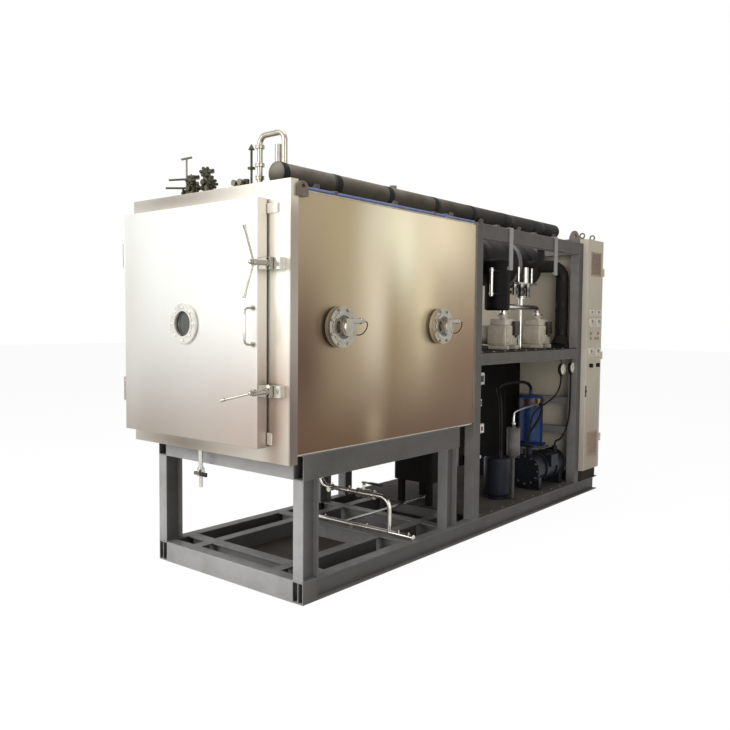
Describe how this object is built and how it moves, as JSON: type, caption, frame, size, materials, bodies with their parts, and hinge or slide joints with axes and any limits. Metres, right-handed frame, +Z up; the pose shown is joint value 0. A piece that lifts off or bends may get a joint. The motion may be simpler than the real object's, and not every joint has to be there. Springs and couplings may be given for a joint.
{
  "type": "freeze dryer",
  "caption": "Skid-mounted production freeze dryer: rectangular stainless drying chamber with swing door and shelves, open machine bay with pumps and compressors, control cabinet.",
  "frame": {"origin": "on the floor at the middle of the skid, on the underside of its middle cross beam", "axes": "+Y runs along the skid from the chamber door to the control cabinet, +X to the side with the sight ports and cabinet door, +Z up"},
  "size_m": [1.467, 4.1101, 2.477],
  "materials": {
    "frame_paint": "satin grey paint",
    "deck_paint": "dark grey paint",
    "vessel_stainless": "polished inside",
    "flange_stainless": "fine brushed",
    "cladding_stainless": "brushed sheet",
    "door_stainless": "brushed sheet",
    "insulation_foam": "foam",
    "seal_rubber": "silicone",
    "sight_glass": "clear",
    "polished_stainless": "polished",
    "black_insulation": "matt foam rubber",
    "strap_grey": "light grey paint",
    "pump_paint": "grey beige paint",
    "compressor_blue": "blue enamel",
    "compressor_black": "black enamel",
    "hose_black": "matt",
    "air_blue": "plastic tube",
    "valve_bronze": "dull bronze",
    "box_grey": "moulded",
    "cabinet_paint": "textured beige grey paint",
    "plinth_paint": "dark paint",
    "louvre_paint": "grey paint",
    "instrument_white": "moulded",
    "knob_black": "moulded"
  },
  "bodies": {
    "machine": {"skid_rails": "frame_paint", "skid_inner_beams": "frame_paint", "frame_posts": "frame_paint", "frame_side_beams": "frame_paint", "frame_cross_beams": "frame_paint", "lifting_lugs": "frame_paint", "deck_plates": "deck_paint", "pump_shelf": "deck_paint", "compressor_stand": "deck_paint", "chamber_vessel": "vessel_stainless", "drying_shelves": "vessel_stainless", "shelf_rack": "vessel_stainless", "chamber_flange": "flange_stainless", "keeper_brackets": "flange_stainless", "hinge_brackets": "flange_stainless", "chamber_cladding": "cladding_stainless", "chamber_insulation": "insulation_foam", "port_glasses": "sight_glass", "port_lamps": "polished_stainless", "u_pipe": "polished_stainless", "vacuum_manifold": "polished_stainless", "isolation_valve": "polished_stainless", "drain_pipework": "polished_stainless", "insulated_top_pipe": "black_insulation", "ice_condenser": "black_insulation", "expansion_tank": "black_insulation", "insulated_riser": "black_insulation", "oil_tank": "black_insulation", "condenser_straps": "strap_grey", "pipe_supports": "strap_grey", "vacuum_pumps": "pump_paint", "upright_compressor": "compressor_blue", "screw_compressor": "compressor_black", "liquid_receiver": "compressor_black", "refrigerant_lines": "hose_black", "air_line": "air_blue", "top_valves": "valve_bronze", "pressure_gauges": "valve_bronze", "post_boxes": "box_grey", "cabinet_shell": "cabinet_paint", "cabinet_plinth": "plinth_paint"},
    "door": {"door_shell": "door_stainless", "door_seal": "seal_rubber", "window_ring": "polished_stainless", "window_glass": "sight_glass", "grab_handle": "polished_stainless", "hinge_leaves": "flange_stainless", "latch_bearings": "flange_stainless"},
    "upper_latch": {"latch_upper": "polished_stainless"},
    "lower_latch": {"latch_lower": "polished_stainless"},
    "roof_valve_handle": {"t_handle": "polished_stainless"},
    "left_vent_knob": {"vent_knob_left": "knob_black"},
    "right_vent_knob": {"vent_knob_right": "knob_black"},
    "chamber_drain_lever": {"drain_lever": "knob_black"},
    "door_end_drain_lever": {"front_drain_lever": "knob_black"},
    "control_door": {"cabinet_door": "cabinet_paint", "louvre_panels": "louvre_paint", "panel_instruments": "instrument_white"},
    "left_selector": {"selector_left": "knob_black"},
    "right_selector": {"selector_right": "knob_black"}
  },
  "joints": [
    {"name": "door_swing", "type": "hinge", "parent": "machine", "child": "door", "pos_m": [-0.745, -2.024, 1.46], "axis": [0, 0, -1], "range_deg": [0, 115]},
    {"name": "upper_latch_turn", "type": "hinge", "parent": "door", "child": "upper_latch", "pos_m": [0.523, -2.036, 1.763], "axis": [0, 1, 0], "range_deg": [0, 180]},
    {"name": "lower_latch_turn", "type": "hinge", "parent": "door", "child": "lower_latch", "pos_m": [0.523, -2.036, 1.122], "axis": [0, 1, 0], "range_deg": [0, 90]},
    {"name": "roof_valve_turn", "type": "hinge", "parent": "machine", "child": "roof_valve_handle", "pos_m": [-0.383, -1.85, 2.3], "axis": [0, 0, 1], "range_deg": [0, 720]},
    {"name": "left_vent_turn", "type": "hinge", "parent": "machine", "child": "left_vent_knob", "pos_m": [0.088, -1.88, 2.226], "axis": [0, 1, 0], "range_deg": [0, 720]},
    {"name": "right_vent_turn", "type": "hinge", "parent": "machine", "child": "right_vent_knob", "pos_m": [0.138, -1.88, 2.226], "axis": [0, 1, 0], "range_deg": [0, 720]},
    {"name": "chamber_drain_turn", "type": "hinge", "parent": "machine", "child": "chamber_drain_lever", "pos_m": [0.19, -0.88, 0.43], "axis": [0, 0, 1], "range_deg": [0, 90]},
    {"name": "door_end_drain_turn", "type": "hinge", "parent": "machine", "child": "door_end_drain_lever", "pos_m": [-0.1245, -1.99, 0.617], "axis": [0, 1, 0], "range_deg": [0, 90]},
    {"name": "control_door_swing", "type": "hinge", "parent": "machine", "child": "control_door", "pos_m": [0.656, 1.841, 1.2], "axis": [0, 0, 1], "range_deg": [0, 110]},
    {"name": "left_selector_turn", "type": "hinge", "parent": "control_door", "child": "left_selector", "pos_m": [0.665, 1.605, 1.118], "axis": [1, 0, 0], "range_deg": [-45, 45]},
    {"name": "right_selector_turn", "type": "hinge", "parent": "control_door", "child": "right_selector", "pos_m": [0.665, 1.75, 1.118], "axis": [1, 0, 0], "range_deg": [-45, 45]}
  ]
}
